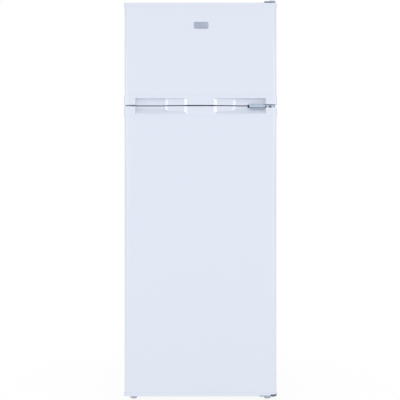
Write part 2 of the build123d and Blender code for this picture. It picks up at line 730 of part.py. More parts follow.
def hinge_hole_plugs():
    """Caps in the unused hinge holes on the left, where the doors could be hung instead."""
    plugs = [upright(-x, y, (CAB_TOP, CAB_TOP + 1.5), 5.0) for x, y in TOP_SCREWS]
    for x, z in FLANGE_SCREWS:
        plugs.append(rod((-x, CAB_FRONT - 1.2, z), (0, 1, 0), 4.0, 1.2))
    return fuse(plugs)


def front_foot(side):
    """Levelling foot: tapered plastic pad on a steel shank."""
    profile = [(0, 0), (10.5, 0), (11.5, 1.0), (13.5, 11.0), (13.5, 13.0), (12.5, 14.0), (FOOT_SHANK_R, 14.0)]
    profile += [(FOOT_SHANK_R, 51.0), (FOOT_SHANK_R - 1.0, 52.0), (0, 52.0)]
    turned = revolve(make_face(Plane.XZ * Polyline(*profile, close=True)), axis=Axis.Z)
    flats = [Rot(0, 0, 45 * i) * Pos(14.6, 0, 10.0) * Cylinder(1.6, 12.0) for i in range(8)]
    return Pos(side * FOOT[0], FOOT[1], 0) * (turned - fuse(flats))


def roller(side):
    """Rear wheel with a grooved tread."""
    x, y = side * ROLLER[0], ROLLER[1]
    wheel = rod((x - ROLLER_HALF, y, ROLLER_R), (1, 0, 0), ROLLER_R, 2 * ROLLER_HALF)
    wheel = chamfer(wheel.edges().filter_by(GeomType.CIRCLE), 1.0)
    for end in (-1, 1):
        ring = rod((x + end * ROLLER_HALF - 2.5, y, ROLLER_R), (1, 0, 0), 13.0, 5.0)
        wheel -= ring - rod((x + end * ROLLER_HALF - 4.0, y, ROLLER_R), (1, 0, 0), 6.5, 8.0)
    return wheel - rod((x - 20.0, y, ROLLER_R), (1, 0, 0), AXLE_BORE_R, 40.0)


def roller_brackets():
    """Forks under the bay side walls, with the fixed axles."""
    x, y = ROLLER
    cheek = [(y - 14, 44.0), (y - 10, 8.0), (y + 10, 8.0), (y + 14, 44.0)]
    fork = prism_x(cheek, (x - 12.0, x - 10.0)) + prism_x(cheek, (x + 10.0, x + 12.0))
    fork += block((x - 12.0, 269.2), (y - 14, y + 14), (42.0, 44.0))
    fork += block((267.2, 269.2), (y - 14, y + 14), (24.0, 60.0))
    fork += rod((x - 14.0, y, ROLLER_R), (1, 0, 0), AXLE_R, 28.0)
    fork += rod((x - 14.0, y, ROLLER_R), (1, 0, 0), 5.0, 2.5)
    fork += rod((x + 11.5, y, ROLLER_R), (1, 0, 0), 5.0, 2.5)
    return fork + mirror_x(fork)


# ---------------------------------------------------------------- cooling system
def compressor_crossbar():
    """Steel plate that carries the compressor between the forks."""
    half = 228.0
    bar = both(half, (96.0, 212.0), (CROSSBAR_Z - 2.0, CROSSBAR_Z))
    bar += both(half, (96.0, 98.0), (CROSSBAR_Z - 2.0, CROSSBAR_Z + 12.0))
    bar += both(half, (210.0, 212.0), (CROSSBAR_Z - 2.0, CROSSBAR_Z + 24.0))
    for x, y in COMPRESSOR_FEET:
        bar -= upright(x, y, (20.0, 30.0), BOLT_BORE_R)
    gland_hole = rod((GLAND[0], 205.0, GLAND[1]), (0, 1, 0), 6.0, 12.0)
    return bar - gland_hole


def compressor():
    """Welded two-piece shell on a bent foot plate, with three pipe stubs."""
    cx, cy = COMPRESSOR
    dome = Pos(cx, cy, 46.0) * extrude(Ellipse(78.0, 60.0), amount=140.0)
    dome = fillet(dome.edges().group_by(Axis.Z)[-1], 34.0)
    dome = fillet(dome.edges().group_by(Axis.Z)[0], 20.0)
    band = Pos(cx, cy, 112.0) * extrude(Ellipse(80.5, 62.5), amount=4.0)
    plate = block((cx - 98.0, cx + 98.0), (cy - 52.0, cy + 52.0), (44.0, 47.5))
    plate = fillet(plate.edges().filter_by(Axis.Z), 10.0)
    for x, y in COMPRESSOR_FEET:
        plate -= upright(x, y, (40.0, 50.0), 7.5)
    stubs = rod((cx + 60.0, cy - 20.0, 130.0), (1, 0, 0), 4.0, 36.0)
    stubs += rod((cx + 60.0, cy + 20.0, 95.0), (1, 0, 0), 4.0, 36.0)
    stubs += rod((cx - 96.0, cy, 90.0), (1, 0, 0), 4.0, 30.0)
    return dome + band + plate + stubs


def compressor_grommets():
    """Rubber isolators between the compressor feet and the crossbar."""
    rings = []
    for x, y in COMPRESSOR_FEET:
        ring = upright(x, y, (CROSSBAR_Z, 44.0), 11.0)
        ring += upright(x, y, (43.5, 47.5), 7.4)
        ring += upright(x, y, (47.5, 52.0), 10.0)
        rings.append(ring - upright(x, y, (20.0, 60.0), BOLT_BORE_R))
    return fuse(rings)


def compressor_bolts():
    bolts = []
    for x, y in COMPRESSOR_FEET:
        bolts.append(upright(x, y, (20.0, 56.0), BOLT_R))
        bolts.append(Pos(x, y, 52.0) * extrude(RegularPolygon(6.0, 6), amount=4.5))
        bolts.append(Pos(x, y, 20.0) * extrude(RegularPolygon(6.0, 6), amount=4.0))
    return fuse(bolts)


def relay_cover():
    """Plastic cover over the terminals on the left end of the compressor."""
    x = COMPRESSOR[0] - 78.0
    y = COMPRESSOR[1]
    body = block((x - 40.0, x + 4.0), (y - 32.0, y + 32.0), (100.0, 160.0))
    body = fillet(body.edges().filter_by(Axis.X), 5.0)
    cx, cy = COMPRESSOR
    return body - Pos(cx, cy, 46.0) * extrude(Ellipse(81.0, 63.0), amount=140.0)


def condenser_tube():
    """Serpentine of the condenser: long runs and bends, butted end to end."""
    pitch = (COIL_Z[1] - COIL_Z[0]) / (COIL_ROWS - 1)
    points = [(RISER_X, TUBE_Y, 205.0), (RISER_X, TUBE_Y, COIL_Z[1])]
    side = 1
    for row in range(COIL_ROWS):
        z = COIL_Z[1] - row * pitch
        if row:
            points.append((-side * COIL_HALF, TUBE_Y, z))
        points.append((side * COIL_HALF, TUBE_Y, z))
        side = -side
    points[-1] = (OUTLET_X, TUBE_Y, COIL_Z[0])
    points.append((OUTLET_X, TUBE_Y, 205.0))
    pieces = []
    bend = []
    for edge in bent_edges(points, COIL_BEND):
        if edge.length < LONG_RUN:
            bend.append(edge)
            continue
        if bend:
            pieces.append(tube(bend, TUBE_R))
        pieces.append(tube([edge], TUBE_R))
        bend = []
    return bundle(pieces)


def condenser_wires():
    """Upright wires welded to the front and the back of the serpentine."""
    step = 2 * WIRE_HALF / (WIRE_COUNT - 1)
    wires = []
    for index in range(WIRE_COUNT):
        x = -WIRE_HALF + index * step
        for offset in (TUBE_R + WIRE_R, -TUBE_R - WIRE_R):
            wires.append(upright(x, TUBE_Y + offset, (COIL_Z[0] - 18.0, COIL_Z[1] + 18.0), WIRE_R))
    return fuse(wires)


def condenser_brackets():
    """Four stand-offs that hold the serpentine clear of the back panel."""
    clips = []
    pitch = (COIL_Z[1] - COIL_Z[0]) / (COIL_ROWS - 1)
    for x in (-196.0, 196.0):
        for row in (2, COIL_ROWS - 3):
            z = COIL_Z[1] - row * pitch
            clip = block((x - 7, x + 7), (CAB_REAR, CAB_REAR + 2.0), (z - 16, z + 16))
            clip += block((x - 7, x + 7), (CAB_REAR, TUBE_Y + 3.4), (z - 5.0, z + 5.0))
            clips.append(clip - rod((x - 10, TUBE_Y, z), (1, 0, 0), CLIP_BORE_R, 20.0))
    return fuse(clips)


def filter_drier():
    """Copper drier capsule standing in the right of the bay."""
    x, y = 228.0, 225.0
    body = upright(x, y, (84.0, 164.0), 9.0)
    body = fillet(body.edges().filter_by(GeomType.CIRCLE), 5.0)
    return body + upright(x, y, (76.0, 176.0), 3.0)


def refrigerant_tubes():
    """Discharge, condenser outlet and suction pipes inside the bay."""
    cx, cy = COMPRESSOR
    discharge = pipe([(cx - 96.0, cy, 90.0), (-205.0, cy, 90.0), (-205.0, 225.0, 90.0),
                      (RISER_X, 225.0, 90.0), (RISER_X, 225.0, 180.0)], 8.0, TUBE_R)
    upper = pipe([(RISER_X, 225.0, 180.0), (RISER_X, 225.0, 190.0), (RISER_X, TUBE_Y, 190.0),
                  (RISER_X, TUBE_Y, 205.0)], 6.0, TUBE_R)
    outlet = pipe([(228.0, TUBE_Y, 205.0), (228.0, TUBE_Y, 190.0), (228.0, 225.0, 190.0),
                   (228.0, 225.0, 176.0)], 6.0, TUBE_R)
    suction = pipe([(cx + 96.0, cy - 20.0, 130.0), (110.0, cy - 20.0, 130.0),
                    (110.0, cy - 20.0, BAY_TOP)], 12.0, 3.2)
    return fuse([discharge, upper, outlet, suction])


def evaporation_tray():
    """Shallow tray on the compressor that catches the defrost water."""
    cx, cy = DRAIN
    tray = block((cx - 78.0, cx + 78.0), (cy - 52.0, cy + 52.0), (186.0, 206.0))
    tray = fillet(tray.edges().filter_by(Axis.Z), 12.0)
    space = block((cx - 76.0, cx + 76.0), (cy - 50.0, cy + 50.0), (188.0, 207.0))
    return tray - fillet(space.edges().filter_by(Axis.Z), 10.0)


def drain_tube():
    """Pipe from the gutter on the hump down to the tray."""
    x, y = DRAIN
    wall = upright(x, y, (196.0, HUMP_Z), DRAIN_R[1])
    return wall - upright(x, y, (190.0, HUMP_Z + 5), DRAIN_R[0])


def cord_gland():
    """Flanged grommet in the crossbar where the mains cord comes in."""
    x, z = GLAND
    body = rod((x, 206.0, z), (0, 1, 0), 5.9, 10.0)
    body += rod((x, 212.0, z), (0, 1, 0), 9.0, 3.0)
    body += rod((x, 206.5, z), (0, 1, 0), 9.0, 3.5)
    return body - rod((x, 200.0, z), (0, 1, 0), 3.8, 20.0)


def evaporator():
    """Roll-bonded plates: one on the freezer ceiling and rear wall, one in the fridge."""
    plate = both(196.0, (179.0, 180.6), (1100.0, 1356.6))
    plate += both(196.0, (-150.0, 180.6), (1355.0, 1356.6))
    plate += both(150.0, (178.0, 179.6), (600.0, 930.0))
    points = []
    for row in range(7):
        y = -130.0 + row * 45.0
        ends = (-175.0, 175.0) if row % 2 == 0 else (175.0, -175.0)
        points += [(ends[0], y, 1354.6), (ends[1], y, 1354.6)]
    plate += pipe(points, CHANNEL_BEND, CHANNEL_R)
    points = []
    for row in range(8):
        z = 625.0 + row * 40.0
        ends = (-130.0, 130.0) if row % 2 == 0 else (130.0, -130.0)
        points += [(ends[0], 177.8, z), (ends[1], 177.8, z)]
    plate += pipe(points, CHANNEL_BEND, CHANNEL_R)
    for x in (-135.0, 135.0):
        for z in (610.0, 920.0):
            plate += rod((x, 177.0, z), (0, 1, 0), 5.0, ROOM_REAR - 177.0)
    for x in (-180.0, 180.0):
        for z in (1110.0, 1330.0):
            plate += rod((x, 178.0, z), (0, 1, 0), 5.0, ROOM_REAR - 178.0)
        plate += upright(x, -120.0, (1354.0, FREEZER_Z[1]), 5.0)
    return plate


# ---------------------------------------------------------------- fittings inside
def glass_shelves():
    panes = []
    for z in PANE_Z:
        pane = both(PANE_HALF, PANE_Y, (z, z + PANE_T))
        panes.append(pane)
    return fuse(panes)


def shelf_trims():
    """Front and rear edging on each pane."""
    trims = []
    for z in PANE_Z:
        front = both(PANE_HALF, (PANE_Y[0] - 10.0, PANE_Y[0] + 6.0), (z - 3.0, z + PANE_T))
        front = fillet(front.edges().filter_by(Axis.X).group_by(Axis.Y)[0], 3.0)
        rear = both(PANE_HALF, (PANE_Y[1] - 5.0, PANE_Y[1] + 4.0), (z - 2.0, z + PANE_T))
        rear += both(PANE_HALF, (PANE_Y[1], PANE_Y[1] + 4.0), (z, z + 16.0))
        ledge = block((215.5, PANE_HALF + 1), (-150.0, 160.0), (z - 10.0, z))
        trims.append(front + rear - ledge - mirror_x(ledge))
    groove = glass_shelves()
    return fuse(trims) - groove


def freezer_shelf():
    """Wire shelf on the freezer ledges."""
    y0, y1 = -135.0, 160.0
    z = RACK_Z
    wires = [rod((-215.0, y, z - 1.0), (1, 0, 0), 3.0, 430.0) for y in (y0, (y0 + y1) / 2, y1)]
    count = 29
    for index in range(count):
        x = -210.0 + index * 420.0 / (count - 1)
        wires.append(rod((x, y0, z + 0.6), (0, 1, 0), 1.6, y1 - y0))
    return fuse(wires)


def ice_bin():
    """Open bin for ice that stands on the wire shelf."""
    x, y, z = (-60.0, 0.0, RACK_Z + 2.4)
    body = block((x - 55.0, x + 55.0), (y - 120.0, y + 120.0), (z, z + 62.0))
    body = fillet(body.edges().filter_by(Axis.Z), 9.0)
    space = block((x - 52.5, x + 52.5), (y - 117.5, y + 117.5), (z + 2.5, z + 63.0))
    space = fillet(space.edges().filter_by(Axis.Z), 6.5)
    grip = block((x - 30.0, x + 30.0), (y - 128.0, y - 119.0), (z + 56.0, z + 59.0))
    return body - space + grip


def crisper_drawer():
    """Stepped vegetable drawer that runs over the hump on two side lips."""
    outline = [(-105, 78), (4, 78), (4, 262), (165, 262), (165, 322), (-105, 322)]
    space = [(-102.6, 80.4), (1.6, 80.4), (1.6, 264.4), (162.6, 264.4), (162.6, 330), (-102.6, 330)]
    body = prism_x(outline, (-186.0, 186.0)) - prism_x(space, (-183.6, 183.6))
    for side in (1, -1):
        lip = [(-105, 307), (165, 307), (165, 322), (-105, 322)]
        x = (185.0, 195.0) if side > 0 else (-195.0, -185.0)
        body += prism_x(lip, x)
    front = both(195.0, (-108.0, -104.0), (76.0, 323.0))
    front = fillet(front.edges().filter_by(Axis.Y), 8.0)
    grip = both(70.0, (-116.0, -107.0), (296.0, 302.0))
    return body + front + grip


def control_housing():
    """Box under the ceiling for the thermostat, the lamp and the door switch."""
    box = block(BOX_X, BOX_Y, BOX_Z)
    box = fillet(box.edges().filter_by(Axis.X).group_by(Axis.Z)[0], 8.0)
    space = block((BOX_X[0] + 2, BOX_X[1] - 2), (BOX_Y[0] + 2, BOX_Y[1] - 2), (BOX_Z[0] + 2, BOX_Z[1] + 1))
    lamp_window = block((-66.0, 56.0), (-136.0, -14.0), (970.0, 982.0))
    body = box - space - lamp_window
    body += upright(KNOB[0], KNOB[1], (979.0, 1010.0), 9.0)
    body -= upright(KNOB[0], KNOB[1], (975.0, 1005.0), 4.08)
    x, z = SWITCH
    body += rod((x, BOX_Y[0] + 1, z), (0, 1, 0), 8.0, 26.0)
    return body - rod((x, BOX_Y[0] - 1, z), (0, 1, 0), 4.08, 24.0)


def thermostat_knob():
    """Ribbed knob under the control box with a pointer rib."""
    x, y = KNOB
    body = upright(x, y, (960.0, 977.6), 19.0)
    body = fillet(body.edges().group_by(Axis.Z)[0], 2.0)
    for index in range(24):
        body -= Pos(x, y, 966.0) * Rot(0, 0, 15 * index) * Pos(19.6, 0, 0) * Cylinder(1.5, 10.0)
    body += block((x - 1.6, x + 1.6), (y - 16.0, y - 2.0), (958.5, 961.0))
    return body + upright(x, y, (977.0, 1003.0), 4.0)


def door_switch():
    """Sprung plunger that the door presses."""
    x, z = SWITCH
    body = rod((x, -174.5, z), (0, 1, 0), 4.0, 34.0)
    return fillet(body.edges().group_by(Axis.Y)[0], 1.5)


def lamp_cover():
    """Translucent cover under the lamp."""
    cover = block((-65.0, 55.0), (-135.0, -15.0), (966.0, 986.0))
    cover = fillet(cover.edges().filter_by(Axis.X).group_by(Axis.Z)[0], 6.0)
    return cover - block((-63.4, 53.4), (-133.4, -16.6), (968.0, 987.0))


def lamp_bulb():
    """Small bulb with its screw base, lying along X."""
    y, z = -75.0, 996.0
    glass = rod((-22.0, y, z), (1, 0, 0), 12.0, 30.0)
    glass = fillet(glass.edges().group_by(Axis.X)[0], 11.5)
    glass = fillet(glass.edges().group_by(Axis.X)[-1], 3.0)
    base = rod((7.0, y, z), (1, 0, 0), 7.5, 27.0)
    holder = block((33.0, 50.0), (y - 12.0, y + 12.0), (z - 11.0, FRIDGE_Z[1]))
    return glass + base + holder


# ---------------------------------------------------------------- build
freezer_caps = [freezer_top_cap(), freezer_bottom_cap()]
fridge_caps = [fridge_top_cap(), fridge_bottom_cap()]
freezer_dike = (206.0, (1092.0, 1360.0), -175.0, 194.0, (1104.0, 1348.0))
fridge_dike = (216.0, (84.0, 1011.0), -175.0, 200.0, (100.0, 996.0))
freezer_plate_z = (1060.0, 1413.0)
fridge_plate_z = (25.5, 1044.5)
freezer_face = door_liner(freezer_plate_z, *freezer_dike)
fridge_face = door_liner(fridge_plate_z, *fridge_dike)
bush = pivot_bush()

save("freezer_door_skin", door_skin(FREEZER_SEAMS))
save("freezer_door_top_cap", freezer_caps[0])
save("freezer_door_bottom_cap", freezer_caps[1])
save("freezer_door_liner", freezer_face)
freezer_voids = [freezer_scoop(1.0), pivot_boss((1058.0, 1082.0)), pivot_boss((1392.0, 1416.0))]
freezer_around = freezer_caps + [freezer_face] + freezer_voids
save("freezer_door_foam", carved(freezer_foam_blocks() + dike_blocks(*freezer_dike), freezer_around))
save("freezer_door_gasket", gasket((1062.5, 1082.5), (1385.0, 1405.0)))
save("freezer_door_racks", freezer_door_racks())
save("door_badge", door_badge())

save("fridge_door_skin", door_skin(FRIDGE_SEAMS))
save("fridge_door_top_cap", fridge_caps[0])
save("fridge_door_bottom_cap", fridge_caps[1])
save("fridge_door_liner", fridge_face)
fridge_voids = [fridge_scoop(1.0), hinge_notch(1.0), hinge_relief(1.0), bush_room(1.0)]
fridge_voids += [pivot_boss((24.0, 46.0)), pivot_boss((1028.0, 1050.0))]
fridge_around = fridge_caps + [fridge_face] + fridge_voids
save("fridge_door_foam", carved(fridge_foam_blocks() + dike_blocks(*fridge_dike), fridge_around))
save("fridge_door_gasket", gasket((40.0, 60.0), (1024.5, 1044.5)))
save("door_balconies", door_balconies())
save("bottle_balcony", bottle_balcony())
save("pivot_bush", bush)

shell = cabinet_shell()
pan = base_pan()
rail = mullion_rail()
freezer_tub = freezer_liner()
fridge_tub = fridge_liner()
drain = drain_tube()
drain_space = upright(DRAIN[0], DRAIN[1], (BAY_TOP, HUMP_Z), DRAIN_R[1])
save("cabinet_shell", shell_panels(shell))
save("back_panel", back_panel())
save("base_pan", pan)
save("mullion_rail", rail)
save("freezer_liner", freezer_tub)
save("fridge_liner", fridge_tub)
save("drain_tube", drain)
around = [shell, pan, rail, freezer_tub, fridge_tub, FOOT_HOLES, SCREW_HOLES, drain_space]
save("cabinet_foam", carved(cabinet_foam_blocks(), around))

save("top_hinge", top_hinge())
save("top_hinge_cover", top_hinge_cover())
save("middle_hinge", middle_hinge())
save("bottom_hinge", bottom_hinge())
save("left_foot_bracket", left_foot_bracket())
save("hinge_screws", SCREWS)
save("hinge_hole_plugs", hinge_hole_plugs())
save("front_foot_left", front_foot(-1))
save("front_foot_right", front_foot(1))
save("roller_left", roller(-1))
save("roller_right", roller(1))
save("roller_brackets", roller_brackets())

save("compressor_crossbar", compressor_crossbar())
save("compressor", compressor())
save("compressor_grommets", compressor_grommets())
save("compressor_bolts", compressor_bolts())
save("relay_cover", relay_cover())
save("condenser_tube", condenser_tube())
save("condenser_wires", condenser_wires())
save("condenser_brackets", condenser_brackets())
save("filter_drier", filter_drier())
save("refrigerant_tubes", refrigerant_tubes())
save("evaporation_tray", evaporation_tray())
save("cord_gland", cord_gland())
save("evaporator", evaporator())

save("glass_shelves", glass_shelves())
save("shelf_trims", shelf_trims())
save("freezer_shelf", freezer_shelf())
save("ice_bin", ice_bin())
save("crisper_drawer", crisper_drawer())
save("control_housing", control_housing())
save("thermostat_knob", thermostat_knob())
save("door_switch", door_switch())
save("lamp_cover", lamp_cover())
save("lamp_bulb", lamp_bulb())
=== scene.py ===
import json
import math

import bmesh
import bpy
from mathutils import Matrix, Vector

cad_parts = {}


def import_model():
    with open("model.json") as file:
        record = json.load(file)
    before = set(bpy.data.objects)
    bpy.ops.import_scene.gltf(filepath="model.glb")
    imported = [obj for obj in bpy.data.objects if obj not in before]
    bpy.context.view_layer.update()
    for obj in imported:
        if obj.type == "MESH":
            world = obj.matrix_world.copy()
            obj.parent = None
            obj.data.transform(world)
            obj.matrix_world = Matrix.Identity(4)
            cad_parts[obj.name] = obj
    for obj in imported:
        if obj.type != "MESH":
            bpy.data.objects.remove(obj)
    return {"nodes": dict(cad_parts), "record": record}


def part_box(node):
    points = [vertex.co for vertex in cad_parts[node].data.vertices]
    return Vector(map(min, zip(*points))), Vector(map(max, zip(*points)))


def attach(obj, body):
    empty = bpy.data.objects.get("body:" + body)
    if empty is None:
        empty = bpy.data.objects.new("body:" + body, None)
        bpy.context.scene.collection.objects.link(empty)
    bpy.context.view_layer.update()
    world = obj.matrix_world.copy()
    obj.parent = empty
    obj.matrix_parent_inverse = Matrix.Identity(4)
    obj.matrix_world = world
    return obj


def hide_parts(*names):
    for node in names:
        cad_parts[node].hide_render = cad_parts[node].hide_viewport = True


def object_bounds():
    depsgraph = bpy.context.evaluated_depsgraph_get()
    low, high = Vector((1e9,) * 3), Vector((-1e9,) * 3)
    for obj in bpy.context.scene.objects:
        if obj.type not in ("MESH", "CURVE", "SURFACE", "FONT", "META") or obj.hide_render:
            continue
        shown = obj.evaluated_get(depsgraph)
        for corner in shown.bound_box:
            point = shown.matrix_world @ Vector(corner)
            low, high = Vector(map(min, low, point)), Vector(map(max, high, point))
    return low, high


# Looks, studio and camera for the two-door refrigerator. Metres, +Z up, the doors face -Y.

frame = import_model()
cad_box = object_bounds()
nodes = frame["nodes"]
record = frame["record"]
scene = bpy.context.scene
slot_of = {part["node"]: part["material_slot"] for part in record["subparts"]}
body_of = {node: body for body, members in record["behaviour"]["bodies"].items() for node in members}

# ---------------------------------------------------------------- sizes
WELD = 1e-6
FLAT_ANGLE = math.radians(1.0)
SMOOTH_ANGLE = math.radians(35.0)
EDGE_ANGLE = math.radians(28.0)

# Rounded edges: width and number of segments
CAP_EDGE = (0.0006, 3)
GRIP_EDGE = (0.0009, 3)
COVER_EDGE = (0.0006, 3)
HINGE_EDGE = (0.0004, 2)

# Faces that take a second material
FOOT_PAD_TOP = 0.0141
BULB_BASE_X = (0.0075, 0.0325)
COMPRESSOR_SHELL_X = (-0.151, 0.0115)
STOP_POST = (0.238, -0.2595)
STOP_POST_REACH = 0.0072
STOP_POST_Z = (1.0459, 1.0530)

# Door seal
CORNER_STEPS = 6
SEAL_CORNER = 0.004
SEAL_WIDTH = 0.020
SEAL_ANGLE = math.radians(50.0)

# Badge
BADGE_CORNER = 0.006
BADGE_RIM = 0.0004
BADGE_CROWN = 0.0003
BADGE_BORDER = (0.0006, 0.0022)

# Marks round the thermostat knob
MARK_COUNT = 9
MARK_START = -90
MARK_SWEEP = 270
MARK_INNER = 0.0215
MARK_OUTER = 0.0235
MARK_GROWTH = 0.0006
MARK_HALF = 0.0006
MARK_RAISED = 0.0003
MARK_SUNK = 0.0002

# Screw heads: direction and height on the cabinet's front, on its top and underneath
FRONT_HEAD = (Vector((0, -1, 0)), 0.0011)
TOP_HEAD = (Vector((0, 0, 1)), 0.0030)
UNDER_HEAD = (Vector((0, 0, -1)), 0.0028)
TOP_HEADS_ABOVE = 1.0
HEAD_STEPS = 32
HEAD_PROFILE = [(1.0, 0.0), (1.0, 0.35), (0.93, 0.62), (0.75, 0.85), (0.5, 0.97)]
HEAD_ANGLE = math.radians(40.0)
CROSS_ARM = 0.44
CROSS_CORE = 0.16
CROSS_TURN = 0.93
CROSS_RIM = 0.98
CROSS_FLOOR = 0.3
CROSS_TAPER = 0.7

# Studio
FLOOR_RADIUS = 12.0
FLOOR_FADE = (0.25, 1.1)
FLOOR_GLOW = (0.9, 1.0)
SIDE_FADE = (0.4, 0.9)
SIDE_LEVEL = 0.62
DOOR_PLANE_Y = -0.28
SIDE_BOX = (2.77, -1.43, 1.33)
SIDE_BOX_TARGET_Z = 1.05
SIDE_BOX_SIZE = (0.5, 0.7)
SIDE_BOX_WATTS = 7.5
FRONT_BOX = (1.3, -3.9, 0.8)
FRONT_BOX_SIZE = (0.25, 2.4)
FRONT_BOX_WATTS = 8.5

# Camera
SENSOR_MM = 36.0
CAMERA_X = -0.0018
CAMERA_Z = 0.7173
CAMERA_BACK = 3.5
VIEW_HEIGHT = 1.4165


# ---------------------------------------------------------------- material helpers
class Look:
    """One Principled material whose colour, roughness and bump follow noise in object space."""

    def __init__(self, name, colour, roughness, metallic=0.0):
        self.material = bpy.data.materials.new(name)
        self.material.use_nodes = True
        self.tree = self.material.node_tree
        self.shader = self.tree.nodes["Principled BSDF"]
        self.place = self.node("ShaderNodeTexCoord").outputs["Object"]
        self.last_bump = None
        self.colour = (*colour, 1.0)
        self.put("Base Color", self.colour)
        self.put("Roughness", roughness)
        self.put("Metallic", metallic)

    def put(self, socket, value):
        self.shader.inputs[socket].default_value = value
        return self

    def link(self, a, b):
        self.tree.links.new(a, b)

    def node(self, kind, **settings):
        made = self.tree.nodes.new(kind)
        for key, value in settings.items():
            setattr(made, key, value)
        return made

    def stretched(self, scale):
        mapping = self.node("ShaderNodeMapping")
        mapping.inputs["Scale"].default_value = scale
        self.link(self.place, mapping.inputs["Vector"])
        return mapping.outputs["Vector"]

    def noise(self, scale, detail, stretch=(1.0, 1.0, 1.0)):
        made = self.node("ShaderNodeTexNoise")
        made.inputs["Scale"].default_value = scale
        made.inputs["Detail"].default_value = detail
        made.inputs["Roughness"].default_value = 0.55
        self.link(self.stretched(stretch), made.inputs["Vector"])
        return made.outputs["Fac"]

    def ramp(self, value, old, new):
        """Carries the value from the old range to the new one."""
        made = self.node("ShaderNodeMapRange")
        made.inputs["From Min"].default_value = old[0]
        made.inputs["From Max"].default_value = old[1]
        made.inputs["To Min"].default_value = new[0]
        made.inputs["To Max"].default_value = new[1]
        self.link(value, made.inputs["Value"])
        return made.outputs["Result"]

    def tint(self, factor, other):
        """Mixes the present base colour with another one by the factor."""
        mix = self.node("ShaderNodeMix", data_type="RGBA")
        colour_in = self.shader.inputs["Base Color"]
        if colour_in.is_linked:
            self.link(colour_in.links[0].from_socket, mix.inputs[6])
        else:
            mix.inputs[6].default_value = self.colour
        mix.inputs[7].default_value = (*other, 1.0)
        self.link(factor, mix.inputs["Factor"])
        self.link(mix.outputs[2], colour_in)
        return self

    def drift(self, cloud, old, amount, shade):
        """Darkens the colour a little where the noise is high."""
        return self.tint(self.ramp(cloud, old, (0.0, amount)), [c * shade for c in self.colour[:3]])

    def rough_from(self, value, old, new):
        self.link(self.ramp(value, old, new), self.shader.inputs["Roughness"])
        return self

    def bump(self, value, strength, distance=0.0003):
        made = self.node("ShaderNodeBump")
        made.inputs["Strength"].default_value = strength
        made.inputs["Distance"].default_value = distance
        self.link(value, made.inputs["Height"])
        if self.last_bump:
            self.link(self.last_bump, made.inputs["Normal"])
        self.last_bump = made.outputs["Normal"]
        self.link(self.last_bump, self.shader.inputs["Normal"])
        return self

    def dust(self, colour, amount, scale=14.0):
        """Soft uneven grime, thicker where the noise is high."""
        cloud = self.ramp(self.noise(scale, 5.0), (0.45, 0.75), (0.0, amount))
        return self.tint(cloud, colour)


def gloss_paint(name, colour, roughness, peel):
    """Sprayed or coil-coated sheet: faint orange peel under a clear skin."""
    look = Look(name, colour, roughness)
    look.put("Coat Weight", 0.35).put("Coat Roughness", 0.06)
    look.drift(look.noise(2.5, 2.0), (0.1, 0.9), 0.3, 0.96)
    look.rough_from(look.noise(30.0, 4.0), (0.2, 0.8), (roughness * 0.9, roughness * 1.1))
    return look.bump(look.noise(260.0, 2.0), peel, 0.0004)


def plastic(name, colour, roughness, grain=0.05, grain_scale=900.0, spread=0.15):
    """Moulded plastic with a fine spark-eroded grain and slight colour drift."""
    look = Look(name, colour, roughness)
    look.put("IOR", 1.49)
    look.drift(look.noise(9.0, 3.0), (0.35, 0.65), 0.08, 0.9)
    rough_range = (roughness * (1 - spread), roughness * (1 + spread))
    look.rough_from(look.noise(60.0, 5.0), (0.3, 0.7), rough_range)
    return look.bump(look.noise(grain_scale, 2.0), grain)


def metal(name, colour, roughness, stretch=(1.0, 1.0, 1.0), scale=400.0, depth=0.15):
    """Metal with fine rolling lines or grain."""
    look = Look(name, colour, roughness, 1.0)
    lines = look.noise(scale, 4.0, stretch)
    look.drift(look.noise(22.0, 4.0), (0.35, 0.7), 0.35, 0.72)
    look.rough_from(lines, (0.3, 0.7), (roughness * 0.75, roughness * 1.3))
    return look.bump(lines, depth)


def clear(name, colour, roughness, frost):
    """Clear or tinted moulding, seen through."""
    look = Look(name, colour, roughness)
    look.put("Transmission Weight", 0.86).put("IOR", 1.49)
    look.rough_from(look.noise(40.0, 4.0), (0.3, 0.7), (roughness * 0.7, roughness * 1.3))
    return look.bump(look.noise(420.0, 2.0), frost)


# ---------------------------------------------------------------- materials
def cabinet_finish():
    """Textured cabinet paint, less glossy than the doors."""
    look = gloss_paint("cabinet_paint_semi", (0.735, 0.765, 0.835), 0.36, 0.05)
    return look.bump(look.noise(1500.0, 2.0), 0.10)


def enamel_finish():
    """Black enamel of the compressor and the condenser, dusty in patches."""
    look = Look("black_enamel_semi", (0.016, 0.016, 0.018), 0.3)
    look.put("Coat Weight", 0.4).put("Coat Roughness", 0.15)
    look.rough_from(look.noise(80.0, 5.0), (0.3, 0.7), (0.22, 0.5))
    look.bump(look.noise(500.0, 3.0), 0.12, 0.0004)
    return look.dust((0.20, 0.19, 0.17), 0.35, 20.0)


def spangle_finish():
    """Hot-dip galvanised sheet with its crystal pattern."""
    look = Look("galvanised_spangle", (0.60, 0.62, 0.64), 0.42, 1.0)
    cells = look.node("ShaderNodeTexVoronoi", feature="F1")
    cells.inputs["Scale"].default_value = 55.0
    look.link(look.place, cells.inputs["Vector"])
    parts = look.node("ShaderNodeSeparateColor")
    look.link(cells.outputs["Color"], parts.inputs["Color"])
    look.tint(look.ramp(parts.outputs["Red"], (0.0, 1.0), (0.0, 0.55)), (0.42, 0.45, 0.48))
    look.rough_from(parts.outputs["Green"], (0.0, 1.0), (0.3, 0.55))
    return look.bump(look.noise(900.0, 3.0), 0.08)


DOOR_WHITE = (0.684, 0.730, 0.828)
LINER_WHITE = (0.745, 0.775, 0.840)

